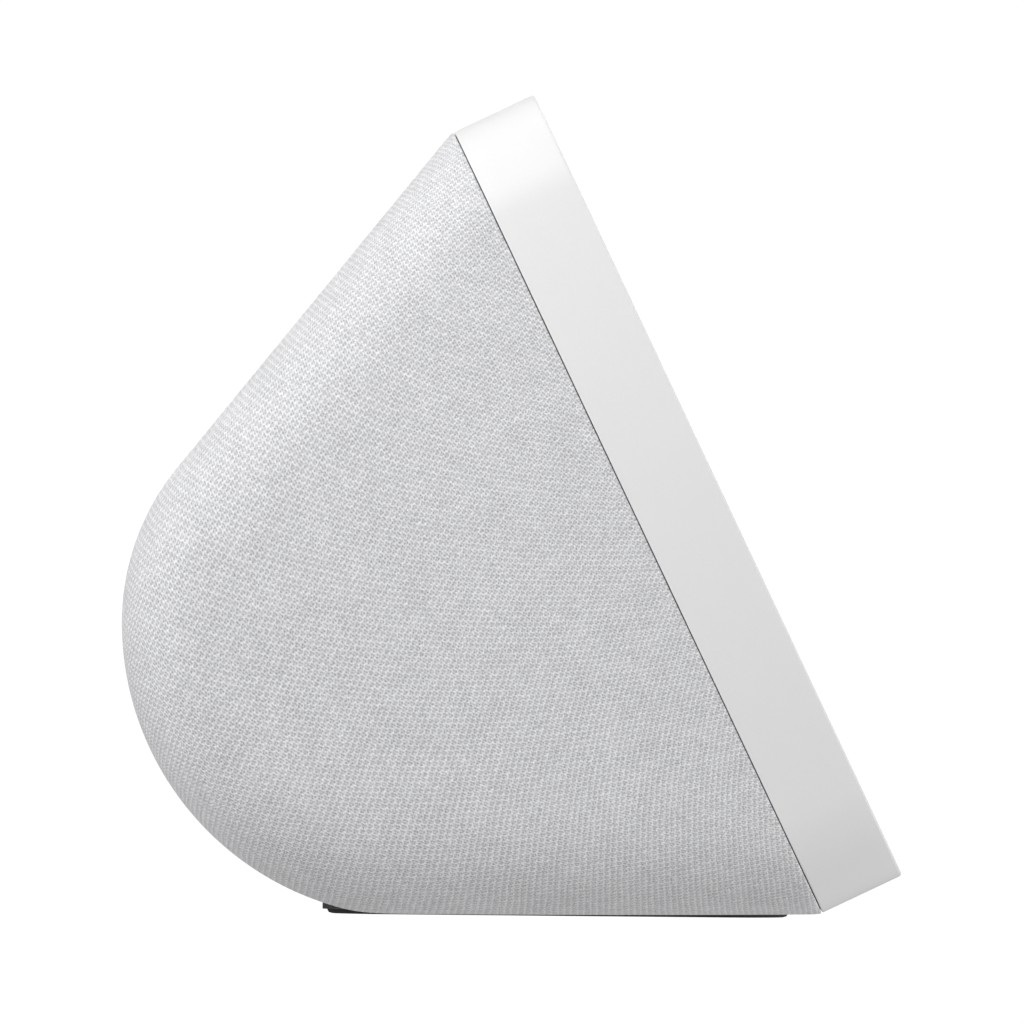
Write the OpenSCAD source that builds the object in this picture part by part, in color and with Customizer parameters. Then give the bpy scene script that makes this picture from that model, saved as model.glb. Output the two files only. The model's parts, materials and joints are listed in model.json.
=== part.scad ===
// Smart speaker with a tilted screen: a white front frame round a glass face,
// a knitted wedge-shaped body behind it and a rubber foot below.
// X is the width, the face looks towards -Y, Z is up; millimetres.
// The origin lies on the resting surface, below the middle of the whole body.

/* [Face] */
// Width of the front frame
body_w = 147; // [144:1:152]
// Height of the front face, measured along its tilt
face_len = 95.8; // [95:0.1:97]
// Tilt of the face back from the vertical, degrees
face_tilt = 25.8; // [25:0.1:26.5]
// Depth of the front frame
frame_t = 9.9; // [9.6:0.1:10.4]
// Corner radius of the face, seen from the front
corner_r = 11; // [10:0.5:12]
// Rounding of the outer edges of the frame
frame_edge_r = 0.4; // [0.3:0.1:1]
// Width of the white rim round the glass
rim_w = 3; // [2.8:0.1:3.4]
// Gap between the frame and the knitted cover
seam_gap = 0.25; // [0.2:0.05:0.4]

/* [Body] */
// Lowest front corner of the face: distance in front of the origin
chin_y = 43.55; // [43:0.05:44]
// Lowest front corner of the face: height above the surface
chin_z = 5.05; // [4.8:0.05:5.3]
// Radius of the upper back curve
upper_r = 27.2; // [26.5:0.1:27.8]
// Distance behind the origin of the upper curve's centre
upper_y = 16.15; // [16:0.05:16.4]
// Radius of the lower back curve
lower_r = 32.72; // [32.2:0.02:33]
// Distance behind the origin of the lower curve's centre
lower_y = 10.63; // [10.5:0.01:10.8]
// Height of both curves' centres
curve_z = 32.5; // [32.2:0.1:32.8]
// Half width of the body at its back
back_hw = 71; // [69:0.5:72]
// Rounding of the body's side edges
side_r = 11; // [10:0.5:12]
// Height of the flat underside above the resting surface
underside_z = 0.2; // [0.15:0.05:0.4]
// Thickness of the knitted cover
fabric_t = 0.8; // [0.6:0.1:1]
// Wall of the rear housing
wall_t = 2; // [1.8:0.1:2.2]

/* [Display] */
// Width of the visible picture
picture_w = 125.4; // [120:0.1:126]
// Height of the visible picture
picture_h = 62.9; // [60:0.1:64]
// Height of the picture's centre above the face's centre
picture_y = -1.5; // [-2:0.1:-1]
// Thickness of the cover glass
glass_t = 1.1; // [0.8:0.1:1.2]

/* [Controls] */
// Length of a button in the top edge
button_l = 12; // [10:0.5:13]
// Width of a button in the top edge
button_w = 3.8; // [3.4:0.1:3.8]
// Travel of a button
button_travel = 0.35; // [0.2:0.05:0.4]
// Places of the volume down, volume up and microphone buttons
button_x = [-24, -8, 12];
// Place of the camera
camera_x = 54; // [53:0.5:55]
// Travel of the camera shutter
shutter_travel = 5.2; // [5:0.1:5.4]

/* [Power inlet] */
// Sideways place of the inlet
port_x = 48; // [47:0.5:50]
// Angle of the inlet below the horizontal, degrees
port_pitch = 29.8; // [28:0.1:31]
// Radius of the inlet's recess
port_r = 5.5; // [5.2:0.1:5.8]
// Depth of the inlet's recess
port_depth = 6; // [5.5:0.1:6.5]

/* [Loudspeaker] */
// Radius of the driver's mounting flange
flange_r = 18.3; // [17.5:0.1:18.5]
// Height of the driver's axis
driver_z = 30.5; // [30:0.1:31]
// Rear face of the baffle, behind the origin
baffle_y = 26.5; // [26:0.1:27]

/* [Foot] */
// Width of the rubber foot
foot_w = 104; // [100:1:106]
// Front end of the rubber foot
foot_front = -31.1; // [-31.4:0.1:-28]
// Rear end of the rubber foot
foot_rear = 20.3; // [20:0.1:20.6]

/* [Hidden] */

$fn = 64;
// Sides of a full circle in the smooth body shells
shell_fn = 72;
// Steps of a quarter of the side edge rounding
edge_steps = 8;
// The body keeps its outline over this depth behind the seam
seam_band = 0.2;
// A cut reaches this far past what it cuts
over = 1;

// Middle of the front face
face_y = -chin_y + sin(face_tilt) * face_len / 2;
face_z = chin_z + cos(face_tilt) * face_len / 2;
// Top rear corner of the frame, where the sloping top of the body starts
slope_y = -chin_y + sin(face_tilt) * face_len + cos(face_tilt) * frame_t;
slope_z = chin_z + cos(face_tilt) * face_len - sin(face_tilt) * frame_t;
// The slope runs tangent to the upper back curve
slope_run = norm([upper_y - slope_y, curve_z - slope_z]);
slope_angle = atan2(curve_z - slope_z, upper_y - slope_y) + asin(upper_r / slope_run);

// Layers behind the front face, measured outwards from it
glass_front = -0.4;
glass_back = glass_front - glass_t;
film_back = glass_back - 0.15;
pocket_back = glass_back - 0.3;
ledge_back = pocket_back - 2;
frame_back = -(frame_t - seam_gap);
panel_back = -3.4;
light_back = -5.5;
tray_back = -6.5;
spreader_front = -8.2;
spreader_back = -9.2;
board_front = -12.4;
board_back = -14;

// Frame openings and walls
frame_wall = 2.2;
glass_w = body_w - 2 * rim_w;
glass_h = face_len - 2 * rim_w;
glass_r = corner_r - rim_w;
window_w = 134;
window_h = 72;
window_r = 2;
top_y = face_len / 2;
// Line of the controls in the top edge
control_z = -6.4;
camera_y = 39.4;
sensor_x = 36;
lens_hole_r = 2.2;
sensor_hole_r = 1.2;
mic_x = [-44, 26];
mic_hole_r = 0.6;
// Button stems end just above the floors of their switches
stem_r = 0.9;
switch_floor = -5.4;
// The slots round the buttons and the shutter
button_slot_gap = 0.4;
shutter_slot_w = 3.4;
shutter_slot_l = shutter_travel + 5;
// Bay for the camera board behind the upper rim: middle, width and height
bay_at = [47.25, 40.6];
bay_w = 30.5;
bay_h = 9.2;
boss_at = [[-45, -41.3], [45, -41.3], [-62, 40.5], [66, 40.5]];
boss_r = 2.2;
boss_back = -9.7;
tab_back = -11.2;
standoff_at = [for (x = [-52, 52], y = [-22, 22]) [x, y + picture_y]];
standoff_r = 2.5;
// Display stack and boards, seen from the front
panel_w = 132;
panel_h = 70;
tray_w = 136;
tray_h = 73;
spreader_w = 120;
spreader_h = 60;
board_w = 116;
board_h = 54;
flex_w = 20;
flex_t = 0.3;
pilot_r = 0.8;
screw_r = 0.75;

// Body shells
housing_gap = 0.05;
housing_out = fabric_t + housing_gap;
housing_in = housing_out + wall_t;
base_w = 108;
base_front = foot_front - 0.5;
base_rear = foot_rear + 0.7;
base_r = 8;
base_gap = 0.15;
foot_t = 1;
ballast_z = 3.3;
ballast_top = 8.6;
box_hw = 37;
port_y = lower_y + lower_r * cos(port_pitch);
port_z = curve_z - lower_r * sin(port_pitch);
port_ring_r = port_r + 2.4;
base_screw_at = [for (x = [-28, 28], y = [-14, 10]) [x, y]];
driver_screw_r = 16.7;
coil_r = 4.75;

/* Placing */

// Children lie in the plane of the front face: y up the face, z out of it
module on_face() {
    translate([0, face_y, face_z]) rotate([90 - face_tilt, 0, 0]) children();
}

// Children stand in the top edge of the frame: z out of that edge
module in_top_edge(x) {
    on_face() translate([x, top_y, control_z]) rotate([-90, 0, 0]) children();
}

// Children lie on the sloping top: y down the slope, z out of it
module on_slope() {
    translate([0, slope_y, slope_z]) rotate([slope_angle, 0, 0]) children();
}

// Children stand at the power inlet: z straight out of it
module at_port() {
    translate([port_x, port_y, port_z]) rotate([-90 - port_pitch, 0, 0]) children();
}

// Children stand on the baffle: z along the driver's axis, out of the back
module at_driver() {
    translate([0, baffle_y, driver_z]) rotate([-90, 0, 0]) children();
}

/* Shapes */

module rounded_rect(w, h, r) {
    square([w - 2 * r, h], center = true);
    square([w, h - 2 * r], center = true);
    for (sx = [-1, 1], sy = [-1, 1]) translate([sx * (w / 2 - r), sy * (h / 2 - r)]) circle(r);
}

// A flat plate with rounded corners, from depth z0 up to z1
module plate(w, h, r, z0, z1) {
    translate([0, 0, z0]) linear_extrude(z1 - z0) rounded_rect(w, h, r);
}

module block(w, h, z0, z1) {
    translate([-w / 2, -h / 2, z0]) cube([w, h, z1 - z0]);
}

module rod(r, z0, z1) {
    translate([0, 0, z0]) cylinder(r = r, h = z1 - z0);
}

module tube(r_out, r_in, z0, z1) {
    difference() {
        rod(r_out, z0, z1);
        rod(r_in, z0 - over, z1 + over);
    }
}

module pill(l, w, z0, z1) {
    plate(l, w, w / 2 - 0.01, z0, z1);
}

// A round-cornered plate whose outer edges are rounded too
module soft_plate(w, h, r, e, z0, z1) {
    t = z1 - z0;
    translate([0, 0, (z0 + z1) / 2]) {
        rotate([90, 0, 90]) translate([0, 0, -w / 2 + r]) linear_extrude(w - 2 * r) rounded_rect(h, t, e);
        rotate([90, 0, 0]) translate([0, 0, -h / 2 + r]) linear_extrude(h - 2 * r) rounded_rect(w, t, e);
        for (sx = [-1, 1], sy = [-1, 1]) translate([sx * (w / 2 - r), sy * (h / 2 - r), 0])
            rotate_extrude() soft_profile(r, t, e);
    }
}

// Half section of a disc with rounded rims
module soft_profile(r, t, e) {
    translate([0, -t / 2 + e]) square([r, t - 2 * e]);
    translate([0, -t / 2]) square([r - e, t]);
    for (s = [-1, 1]) translate([r - e, s * (t / 2 - e)]) circle(e);
}

// A wire through the given points, a little thicker at its bends
module wire(points, r) {
    for (i = [0 : len(points) - 2]) {
        step = points[i + 1] - points[i];
        translate(points[i])
            rotate([0, acos(step[2] / norm(step)), atan2(step[1], step[0])])
                cylinder(r = r, h = norm(step), $fn = 16);
    }
    for (p = [for (i = [1 : len(points) - 2]) points[i]]) translate(p) sphere(r = r * 1.2, $fn = 16);
}

// A screw with its head up, its head resting at z = 0
module screw(head_r, head_t, shank_r, length) {
    difference() {
        rod(head_r, 0, head_t);
        rod(head_r * 0.4, head_t * 0.5, head_t + over);
    }
    rod(shank_r, -length, 0);
}

/* Body form */

// A wheel across the body with rounded side edges
module back_wheel(r, hw, e) {
    profile = concat([[0, -hw]],
        [for (i = [0 : edge_steps]) let (a = -90 + 90 * i / edge_steps)
            [r - e + e * cos(a), -hw + e + e * sin(a)]],
        [for (i = [0 : edge_steps]) let (a = 90 * i / edge_steps)
            [r - e + e * cos(a), hw - e + e * sin(a)]],
        [[0, hw]]);
    rotate([0, 90, 0]) rotate_extrude($fn = shell_fn) polygon(profile);
}

// The knitted body's solid form, set in by a distance all round; it reaches past the seam by front
module body_form(inset, front = 0) {
    intersection() {
        hull() {
            on_face() plate(body_w - 2 * inset, face_len - 2 * inset, corner_r - inset,
                -frame_t - seam_band, -frame_t + front, $fn = shell_fn);
            translate([0, upper_y, curve_z]) back_wheel(upper_r - inset, back_hw - inset, side_r - inset);
            intersection() {
                translate([0, lower_y, curve_z])
                    back_wheel(lower_r - inset, back_hw - inset, side_r - inset);
                translate([-100, lower_y, curve_z - 100]) cube([200, 100, 100]);
            }
        }
        translate([-100, -100, underside_z + inset]) cube([200, 200, 200]);
    }
}

// Opening in the underside for the base plate
module base_outline(gap) {
    translate([0, (base_front + base_rear) / 2])
        rounded_rect(base_w - 2 * gap, base_rear - base_front - 2 * gap, base_r);
}

/* Front frame and glass */

module front_frame() {
    color("whitesmoke") {
        difference() {
            on_face() soft_plate(body_w, face_len, corner_r, frame_edge_r, frame_back, 0);
            on_face() {
                plate(glass_w + 0.6, glass_h + 0.6, glass_r + 0.3, pocket_back, over);
                translate([0, picture_y, 0]) plate(window_w, window_h, window_r, ledge_back - over, over);
                plate(body_w - 2 * frame_wall, face_len - 2 * frame_wall, corner_r - frame_wall,
                    frame_back - over, ledge_back);
                translate(bay_at) block(bay_w, bay_h, ledge_back - over, pocket_back + 0.2);
            }
            for (x = button_x) in_top_edge(x)
                pill(button_l + button_slot_gap, button_w + button_slot_gap, -frame_wall - over, over);
            in_top_edge(camera_x - shutter_travel / 2)
                pill(shutter_slot_l, shutter_slot_w, -frame_wall - over, over);
            for (x = mic_x) in_top_edge(x) rod(mic_hole_r, -frame_wall - over, over);
        }
        on_face() for (p = boss_at) translate(p)
            difference() {
                rod(boss_r, boss_back, ledge_back + 0.5);
                rod(pilot_r, boss_back - over, ledge_back - 0.8);
            }
    }
}

module cover_glass() {
    color([0.75, 0.8, 0.82, 0.4])
        on_face() soft_plate(glass_w, glass_h, glass_r, 0.2, glass_back, glass_front);
}

module border_film() {
    color([0.03, 0.03, 0.035]) on_face() difference() {
        plate(glass_w - 0.4, glass_h - 0.4, glass_r - 0.2, film_back, glass_back);
        translate([0, picture_y, 0]) plate(picture_w, picture_h, 1, film_back - over, over);
        translate([camera_x, camera_y, 0]) rod(lens_hole_r, film_back - over, over);
        translate([sensor_x, camera_y, 0]) rod(sensor_hole_r, film_back - over, over);
    }
}

module glass_tape() {
    color([0.05, 0.05, 0.05]) on_face() difference() {
        plate(glass_w - 1, glass_h - 1, glass_r - 0.5, pocket_back, film_back);
        translate([0, picture_y, 0]) plate(window_w, window_h, window_r, pocket_back - over, over);
        translate(bay_at) block(bay_w, bay_h, pocket_back - over, over);
    }
}

/* Display */

module lcd_panel() {
    color([0.06, 0.06, 0.08]) on_face() translate([0, picture_y, 0])
        plate(panel_w, panel_h, 0.6, panel_back, film_back - 0.05);
}

module backlight() {
    color("ivory") on_face() translate([0, picture_y, 0])
        plate(panel_w - 1, panel_h - 1, 0.6, light_back, panel_back);
}

module display_tray() {
    color("lightsteelblue") on_face() difference() {
        union() {
            translate([0, picture_y, 0]) difference() {
                plate(tray_w, tray_h, 1.5, tray_back, ledge_back);
                plate(tray_w - 2, tray_h - 2, 0.8, light_back, over);
            }
            for (p = standoff_at) translate(p) rod(standoff_r, board_front, tray_back + 0.2);
        }
        for (p = standoff_at) translate(p) rod(pilot_r, board_front - over, tray_back - 0.9);
        // Notch for the flex cable
        translate([0, -37.6]) block(flex_w + 4, 2.6, tray_back - over, over);
    }
}

module display_flex() {
    color("peru") on_face() {
        translate([0, -36.95]) block(flex_w, flex_t, board_back - 1, -2.4);
        translate([0, -31.05]) block(flex_w, 12.1, board_back - 1, board_back - 1 + flex_t);
        translate([0, -26]) block(flex_w, 2, board_back - 1 + flex_t, board_back);
    }
}

/* Camera, sensor and shutter */

module camera_board() {
    color("darkgreen") on_face() translate([46.5, 39.4, 0]) block(28, 7.2, -7.6, -6.8);
}

module camera_module() {
    color("dimgray") on_face() translate([camera_x, camera_y, 0]) {
        block(7.2, 7.2, -6.8, -4.6);
        tube(3, 2, -4.6, -2.9);
    }
}

module camera_lens() {
    color([0.1, 0.1, 0.2]) on_face() translate([camera_x, camera_y, 0]) rod(1.95, -4.6, -3.1);
}

module light_sensor() {
    color("dimgray") on_face() translate([sensor_x, camera_y, 0]) {
        block(3, 3, -6.8, -5.8);
        rod(1.1, -5.8, -1.9);
    }
}

// Rest is open: the blade stands beside the camera
module shutter_knob() {
    color("whitesmoke") {
        in_top_edge(camera_x - shutter_travel) {
            pill(4.6, 3, -3, -0.6);
            for (i = [-1 : 1]) translate([i * 1.1, 0, 0]) block(0.5, 2, -0.6, -0.3);
            block(6.4, 4.4, -3.4, -2.5);
        }
        on_face() translate([camera_x - shutter_travel, 43.9, 0]) block(4.6, 1.2, -8, -2.5);
    }
}

module shutter_blade() {
    color("orangered") on_face() translate([camera_x - shutter_travel, 40.55, 0]) block(5.8, 7.9, -2.5, -1.9);
}

/* Buttons and microphones */

module button(x) {
    in_top_edge(x) {
        pill(button_l, button_w, -2.6, -0.05);
        block(button_l + 1.6, button_w + 0.8, -3.2, -2.4);
        rod(stem_r, switch_floor + button_travel + 0.15, -3.2);
    }
}

module volume_down_button() {
    color("whitesmoke") button(button_x[0]);
}

module volume_up_button() {
    color("whitesmoke") button(button_x[1]);
}

module mic_button() {
    color("whitesmoke") button(button_x[2]);
}

module button_board() {
    color("darkgreen") on_face() translate([-8.5, 41.1, 0]) block(77, 1, -10.4, -4.2);
}

module button_switches() {
    color("silver") for (x = button_x) in_top_edge(x) difference() {
        block(3.6, 3.6, -6.3, -4.5);
        rod(stem_r + 0.2, switch_floor, over);
    }
}

module microphones() {
    color("gold") for (x = mic_x) in_top_edge(x) block(3.5, 2.6, -6.3, -5.3);
}

module mic_gaskets() {
    color("dimgray") for (x = mic_x) in_top_edge(x) tube(1.5, 0.7, -5.3, -frame_wall);
}

/* Body shells */

module seam_gasket() {
    color([0.1, 0.1, 0.1]) on_face() difference() {
        plate(body_w - 1.2, face_len - 1.2, corner_r - 0.6, -frame_t, frame_back);
        plate(body_w - 4, face_len - 4, corner_r - 2, -frame_t - over, over);
    }
}

module rear_housing() {
    color("gainsboro") {
        difference() {
            body_form(housing_out);
            body_form(housing_in, over);
            translate([0, 0, -over]) linear_extrude(6) base_outline(0);
            at_port() rod(port_ring_r + 0.1, -10, 10);
            // Sound slots behind the knit
            for (i = [-4 : 4]) translate([-32, 20, driver_z + i * 4 - 1]) cube([64, 40, 2]);
        }
        on_face() {
            screw_tab(boss_at[0], 5.6, -46, -38.5);
            screw_tab(boss_at[1], 5.6, -46, -38.5);
            screw_tab(boss_at[2], 5.6, 37.5, 46);
            screw_tab(boss_at[3], 12, 37.5, 46);
        }
    }
}

// A tab for a screw into the frame, reaching into the housing's wall
module screw_tab(p, w, y0, y1) {
    wall_mid = housing_out + 1.2;
    difference() {
        intersection() {
            translate([p[0] - w / 2, y0, tab_back]) cube([w, y1 - y0, boss_back - tab_back]);
            plate(body_w - 2 * wall_mid, face_len - 2 * wall_mid, corner_r - wall_mid, tab_back, boss_back);
        }
        translate(p) rod(1, tab_back - over, boss_back + over);
    }
}

module fabric_cover() {
    color("lightgray") difference() {
        body_form(0);
        body_form(fabric_t, over);
        translate([0, 0, -over]) linear_extrude(6) base_outline(0);
        at_port() rod(port_ring_r + 0.1, -10, 10);
    }
}

/* Base */

module base_plate() {
    color([0.12, 0.12, 0.12]) difference() {
        union() {
            translate([0, 0, 0.5]) linear_extrude(2.7) base_outline(base_gap);
            translate([0, -4.5, 0]) plate(116, 39, 4, 3.2, 4.6);
        }
        // Clears the ballast and the inside of the plate
        translate([0, -2, 0]) block(73, 37, ballast_z, 6);
        translate([0, (foot_front + foot_rear) / 2, 0])
            plate(foot_w + 0.3, foot_rear - foot_front + 0.3, 7, -over, foot_t);
        for (p = base_screw_at) translate(p) {
            rod(2.9, 0, 2.2);
            rod(1.6, 2, 6);
        }
    }
}

module rubber_foot() {
    color([0.07, 0.07, 0.07]) translate([0, (foot_front + foot_rear) / 2, 0])
        plate(foot_w, foot_rear - foot_front, 6.85, 0, foot_t);
}

module ballast_weight() {
    color("slategray") difference() {
        translate([0, -2, 0]) plate(72, 36, 2, ballast_z, ballast_top);
        for (p = base_screw_at) translate(p) rod(1.5, 0, 7.2);
    }
}

/* Power inlet */

module port_ring() {
    color([0.1, 0.1, 0.1]) at_port() difference() {
        rod(port_ring_r, -port_depth - 1, -0.35);
        rod(port_r, -port_depth, over);
        rod(3.4, -port_depth - 2, 0);
    }
}

module dc_jack() {
    color([0.15, 0.15, 0.16]) at_port() difference() {
        block(9, 10, -port_depth - 13, -port_depth - 1);
        rod(3.05, -port_depth - 10.5, over);
    }
}

module jack_pin() {
    color("silver") at_port() rod(1, -port_depth - 10.5, -port_depth - 1.6);
}

module power_board() {
    color("darkgreen") at_port() translate([-9.8, 5, -port_depth - 19]) cube([16, 1.2, 18]);
}

// Middle line of the power wires: y and z
power_route = [[16.16, 23.62], [17.06, 25.19], [0, 27.2], [-15.4, 30.7]];

module power_wires() {
    color("firebrick") for (s = [-1, 1])
        wire([for (p = power_route) [port_x - 3 + s, p[0], p[1]]], 0.6);
}

/* Loudspeaker */

// Side outline of the sealed box: y and z
box_outline = [[-18.5, 9], [22, 9], [23.5, 11], [23.5, 50], [18, 56], [4, 56]];
box_hollow = [[-15.3, 11], [21, 11], [21.8, 13], [25, 13], [25, 48], [22, 48], [17.2, 54], [5.3, 54]];

module across(hw, outline) {
    translate([-hw, 0, 0]) rotate([90, 0, 90]) linear_extrude(2 * hw) polygon(outline);
}

module speaker_box() {
    color([0.2, 0.2, 0.22]) difference() {
        across(box_hw, box_outline);
        across(box_hw - 2, box_hollow);
    }
}

module speaker_gasket() {
    color([0.3, 0.3, 0.3]) translate([0, 23.75, driver_z]) rotate([-90, 0, 0]) difference() {
        block(2 * box_hw, 39, -0.25, 0.25);
        block(2 * box_hw - 4, 35, -over, over);
    }
}

module speaker_baffle() {
    color([0.16, 0.16, 0.17]) at_driver() difference() {
        block(2 * box_hw, 39, -2.5, 0);
        rod(14.6, -4, over);
        for (a = [45 : 90 : 315]) rotate([0, 0, a]) translate([driver_screw_r, 0, 0]) rod(pilot_r, -4, over);
    }
}

module speaker_pads() {
    color([0.25, 0.25, 0.25]) for (x = [-26, 26]) translate([x, 0, 0]) block(8, 26, ballast_top, 9);
}

// Middle line of the speaker wires: y and z
speaker_route = [[-10, 27.02], [-12.5, 27.8], [-16.43, 28.46]];

module speaker_wires() {
    color("goldenrod") for (s = [-1, 1]) wire([for (p = speaker_route) [20 + s, p[0], p[1]]], 0.5);
}

module driver_basket() {
    color("silver") at_driver() difference() {
        union() {
            tube(flange_r, 13.4, 0, 1.4);
            rotate_extrude() polygon([[13.4, 0], [8.8, -10], [5.4, -10], [5.4, -11], [9.6, -11], [14.4, 0]]);
            tube(14.3, 13.4, -0.3, 0.2);
        }
        for (a = [0 : 90 : 270]) rotate([0, 0, a]) translate([8, 0, -5]) rotate([0, 90, 0])
            rod(3, 0, 12);
        for (a = [45 : 90 : 315]) rotate([0, 0, a]) translate([driver_screw_r, 0, 0]) rod(1, -over, 3);
    }
}

module driver_top_plate() {
    color("gray") at_driver() tube(11.5, 5.2, -13, -11);
}

module driver_magnet() {
    color([0.22, 0.22, 0.24]) at_driver() tube(13, 6.4, -19, -13);
}

module driver_yoke() {
    color("gray") at_driver() {
        rod(12.5, -21.5, -19);
        rod(4.2, -20, -11);
    }
}

module driver_spider() {
    color("goldenrod") at_driver() rotate_extrude() translate([5.1, -7.2]) {
        square([4.9, 0.4]);
        for (i = [0 : 2]) translate([0.8 + i * 1.5, 0]) circle(0.5, $fn = 24);
    }
}

module driver_surround() {
    color([0.08, 0.08, 0.08]) at_driver() rotate_extrude() {
        difference() {
            translate([13.8, 1.4]) circle(1.1);
            translate([13.8, 1.4]) circle(0.75);
            translate([10, -3]) square([8, 4.4]);
        }
        translate([14.75, 1.4]) square([0.45, 0.35]);
    }
}

module driver_cone() {
    color([0.13, 0.13, 0.14]) at_driver() rotate_extrude()
        polygon([[coil_r, -4], [12.3, 1], [12.3, 1.6], [coil_r, -3.3]]);
}

module dust_cap() {
    color([0.18, 0.18, 0.2]) at_driver() translate([0, 0, -9.2]) difference() {
        sphere(r = 7.6);
        sphere(r = 7.2);
        block(20, 20, -10, 6);
    }
}

module voice_coil() {
    color("chocolate") at_driver() tube(coil_r, 4.5, -12.6, -3.2);
}

/* Electronics */

module main_board() {
    color("darkgreen") on_face() difference() {
        translate([0, picture_y, 0]) plate(board_w, board_h, 2, board_back, board_front);
        for (p = standoff_at) translate(p) rod(1.2, board_back - over, board_front + over);
    }
}

module shield_cans() {
    color("silver") on_face() {
        translate([-10, picture_y, 0]) plate(28, 28, 1, board_front, -10.2);
        translate([26, picture_y - 8, 0]) plate(22, 16, 1, board_front, -10.6);
        translate([-38, picture_y + 6, 0]) plate(16, 20, 1, board_back - 2, board_back);
    }
}

module thermal_pad() {
    color("lightskyblue") on_face() translate([-10, picture_y, 0]) plate(24, 24, 1, -10.2, spreader_back);
}

module heat_spreader() {
    color("lightgray") on_face() difference() {
        translate([0, picture_y, 0]) plate(spreader_w, spreader_h, 2, spreader_back, spreader_front);
        for (p = standoff_at) translate(p) rod(standoff_r + 0.3, spreader_back - over, spreader_front + over);
    }
}

module antennas() {
    color("peru") on_slope() for (x = [-30, 30]) translate([x, 22, 0])
        block(30, 9, -housing_in - 0.6, -housing_in - 0.2);
}

/* Screws */

module frame_screws() {
    color("silver") on_face() for (p = boss_at) translate([p[0], p[1], tab_back]) rotate([180, 0, 0])
        screw(1.9, 1.4, screw_r, 5.4);
}

module board_screws() {
    color("silver") on_face() for (p = standoff_at) translate([p[0], p[1], board_back]) rotate([180, 0, 0])
        screw(2, 1.2, screw_r, 5.4);
}

module driver_screws() {
    color("silver") at_driver() for (a = [45 : 90 : 315]) rotate([0, 0, a])
        translate([driver_screw_r, 0, 1.4]) screw(1.35, 0.9, screw_r, 3.8);
}

module base_screws() {
    color("silver") for (p = base_screw_at) translate([p[0], p[1], 2.2]) rotate([180, 0, 0])
        screw(2.7, 1.1, 1.4, 4.6);
}

/* Drawing */
front_frame();
cover_glass();
border_film();
glass_tape();
lcd_panel();
backlight();
display_tray();
display_flex();
camera_board();
camera_module();
camera_lens();
light_sensor();
shutter_knob();
shutter_blade();
volume_down_button();
volume_up_button();
mic_button();
button_board();
button_switches();
microphones();
mic_gaskets();
seam_gasket();
rear_housing();
fabric_cover();
base_plate();
rubber_foot();
ballast_weight();
port_ring();
dc_jack();
jack_pin();
power_board();
power_wires();
speaker_box();
speaker_gasket();
speaker_baffle();
speaker_pads();
speaker_wires();
driver_basket();
driver_magnet();
driver_top_plate();
driver_yoke();
driver_spider();
driver_surround();
driver_cone();
dust_cap();
voice_coil();
main_board();
shield_cans();
thermal_pad();
heat_spreader();
antennas();
frame_screws();
board_screws();
driver_screws();
base_screws();
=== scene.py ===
"""Looks of the smart speaker: the knitted cover, the white frame, the glass face, the controls,
the foot and the finishes of everything inside. Lengths are in millimetres until a mesh is made."""

import json
import math

import bmesh
import bpy
import numpy as np
from mathutils import Matrix, Vector
from mathutils.bvhtree import BVHTree


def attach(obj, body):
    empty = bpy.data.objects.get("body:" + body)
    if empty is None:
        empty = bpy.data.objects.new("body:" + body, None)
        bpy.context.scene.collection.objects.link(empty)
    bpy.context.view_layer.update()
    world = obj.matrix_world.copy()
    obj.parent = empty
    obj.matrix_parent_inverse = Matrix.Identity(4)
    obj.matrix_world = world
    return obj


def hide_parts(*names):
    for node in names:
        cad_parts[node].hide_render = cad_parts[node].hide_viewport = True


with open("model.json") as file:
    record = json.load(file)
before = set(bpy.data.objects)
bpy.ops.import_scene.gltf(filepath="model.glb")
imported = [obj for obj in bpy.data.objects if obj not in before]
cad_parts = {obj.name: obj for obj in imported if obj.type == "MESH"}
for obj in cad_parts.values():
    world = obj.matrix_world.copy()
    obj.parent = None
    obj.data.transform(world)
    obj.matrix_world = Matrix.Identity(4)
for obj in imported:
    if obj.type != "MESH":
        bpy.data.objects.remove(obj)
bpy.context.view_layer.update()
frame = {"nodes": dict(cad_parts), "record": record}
RECORD = frame["record"]

# ---------------------------------------------------------------- sizes of the CAD model
MM = 0.001
TURN, QUARTER = 2 * math.pi, math.pi / 2
BODY_W, FACE_LEN, FRAME_T = 147.0, 95.8, 9.9
CORNER_R, BACK_HW, SIDE_R = 11.0, 71.0, 11.0
TILT = math.radians(25.8)
CHIN = np.array([0, -43.55, 5.05])
UPPER_Y, UPPER_R = 16.15, 27.2
LOWER_Y, LOWER_R = 10.63, 32.72
CURVE_Z = 32.5
UNDER_Z = 0.2
# Rim round the glass, depths of its pocket and of the ledge behind it, wall of the frame
RIM_W, POCKET_D, LEDGE_D, FRAME_WALL = 3.0, -1.8, -3.8, 2.2
# Each button's body and its place along the top edge
BUTTONS = {"volume_down": -24.0, "volume_up": -8.0, "mic_key": 12.0}
BUTTON_L, BUTTON_W, BUTTON_GAP = 12.0, 3.8, 0.4
# Depth of the line of controls behind the face
CONTROL_D = -6.4
CAMERA_X, SHUTTER_TRAVEL = 54.0, 5.2
MIC_X = (-44.0, 26.0)
BAY_AT, BAY_W, BAY_H = (47.25, 40.6), 30.5, 9.2
BOSS_AT = ((-45, -41.3), (45, -41.3), (-62, 40.5), (66, 40.5))
BOSS_R, BOSS_D, PILOT_R = 2.2, -9.7, 0.8
BASE_W, BASE_FRONT, BASE_REAR, BASE_R = 108.0, -31.6, 21.0, 8.0
FOOT_W, FOOT_FRONT, FOOT_REAR, FOOT_R = 104.0, -31.1, 20.3, 6.85
PORT_X, PORT_PITCH = 48.0, math.radians(29.8)
PORT_R, PORT_DEPTH, PORT_RIM, JACK_R = 5.5, 6.0, 2.4, 3.4

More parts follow.
